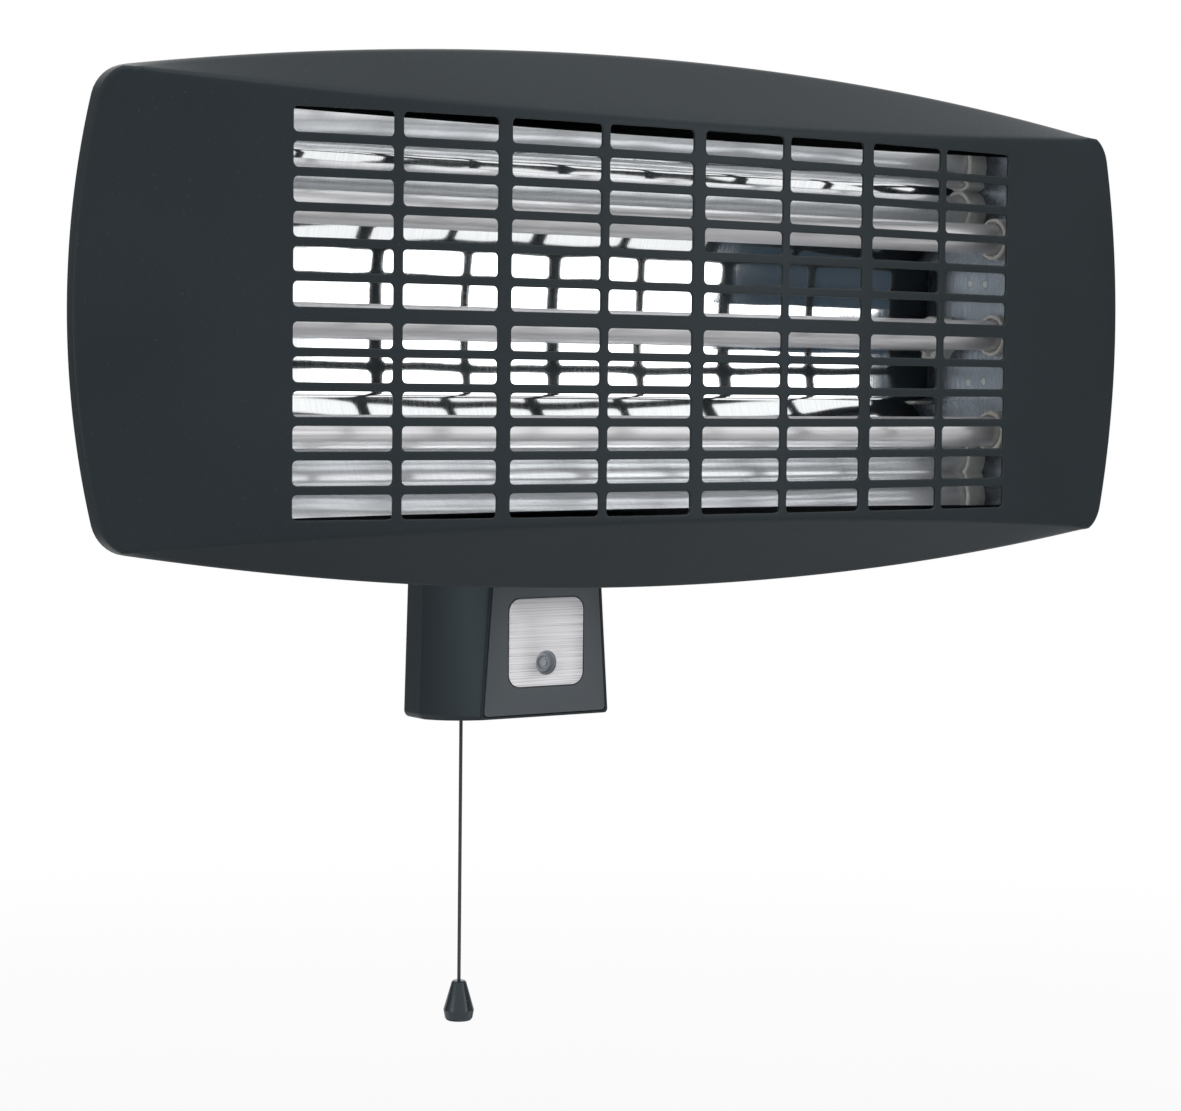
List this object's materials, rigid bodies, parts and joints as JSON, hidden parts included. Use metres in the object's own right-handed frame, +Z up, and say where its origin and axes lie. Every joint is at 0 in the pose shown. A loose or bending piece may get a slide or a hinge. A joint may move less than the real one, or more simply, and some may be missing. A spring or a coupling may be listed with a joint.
{
  "type": "quartz heater",
  "caption": "Wall-mounted radiant heater: a wide slotted convex head over quartz tubes tilts on a small wall box with a pilot lamp and a pull-cord switch.",
  "frame": {"origin": "middle of the wall box's back face, on the wall plane", "axes": "+X to the viewer's right, +Y out of the room into the wall, +Z up; the head faces -Y"},
  "size_m": [0.4704, 0.14, 0.3779],
  "materials": {
    "black_cover": "matt black powder coat",
    "black_housing": "matt black powder coat",
    "reflector_sheet": "polished aluminium sheet",
    "end_plate_sheet": "brushed aluminium sheet",
    "quartz": "milky fused quartz",
    "heating_wire": "oxidised resistance wire",
    "ceramic": "glazed white ceramic",
    "brass": "plain brass",
    "zinc_steel": "zinc plated steel",
    "rubber": "black rubber",
    "black_moulding": "fine-grained black plastic",
    "grey_panel": "dark grey plastic",
    "brushed_plate": "aluminium brushed crossways",
    "lamp_clear": "smoky clear plastic",
    "white_moulding": "white plastic",
    "cord_black": "black braided cord",
    "knob_black": "black plastic, satin"
  },
  "bodies": {
    "wall_box": {"box_rear_shell": "black_moulding", "box_front_shell": "black_moulding", "front_panel": "grey_panel", "metal_plate": "brushed_plate", "lamp_lens": "lamp_clear", "lamp_body": "white_moulding", "switch_case": "white_moulding", "switch_cover": "white_moulding", "switch_contacts": "brass", "wheel_shaft": "zinc_steel", "return_spring": "zinc_steel", "cord_bush": "black_moulding", "terminal_block": "white_moulding", "cable_inlet": "rubber", "cable_clamp": "black_moulding", "clamp_screws": "zinc_steel", "box_grommet": "rubber", "shell_screws": "zinc_steel", "pivot_bolt": "zinc_steel", "pivot_washers": "zinc_steel"},
    "head": {"front_cover": "black_cover", "rear_housing": "black_housing", "reflector": "reflector_sheet", "left_end_plate": "end_plate_sheet", "right_end_plate": "end_plate_sheet", "top_quartz_tube": "quartz", "middle_quartz_tube": "quartz", "bottom_quartz_tube": "quartz", "top_heating_coil": "heating_wire", "middle_heating_coil": "heating_wire", "bottom_heating_coil": "heating_wire", "left_tube_caps": "ceramic", "right_tube_caps": "ceramic", "left_tube_pins": "brass", "right_tube_pins": "brass", "left_link_bar": "brass", "right_link_straps": "brass", "thermal_cutout": "ceramic", "cutout_bracket": "zinc_steel", "head_terminal_block": "ceramic", "cover_screws": "zinc_steel", "reflector_brackets": "zinc_steel", "end_plate_screws": "zinc_steel", "hinge_bracket": "black_housing", "bracket_screws": "zinc_steel", "head_grommet": "rubber", "link_cable": "rubber"},
    "clamp_knob": {"clamp_knob": "black_moulding"},
    "pull_cord": {"switch_slider": "white_moulding", "switch_cord": "cord_black", "pull_cord": "cord_black", "cord_knob": "knob_black"},
    "ratchet_wheel": {"ratchet_wheel": "white_moulding"}
  },
  "joints": [
    {"name": "head_tilt", "type": "hinge", "parent": "wall_box", "child": "head", "pos_m": [0, -0.028, 0.054], "axis": [1, 0, 0], "range_deg": [0, 40], "deforming": ["link_cable"]},
    {"name": "clamp_knob_turn", "type": "hinge", "parent": "wall_box", "child": "clamp_knob", "pos_m": [0.034, -0.028, 0.054], "axis": [1, 0, 0], "range_deg": [-180, 180]},
    {"name": "cord_pull", "type": "slide", "parent": "wall_box", "child": "pull_cord", "axis": [0, 0, -1], "range_m": [0, 0.008], "stiffness_N_per_m": 400, "springref_m": -0.004, "deforming": ["return_spring"]},
    {"name": "switch_index", "type": "hinge", "parent": "wall_box", "child": "ratchet_wheel", "pos_m": [-0.013, -0.012, -0.016], "axis": [0, 1, 0], "continuous": true}
  ]
}
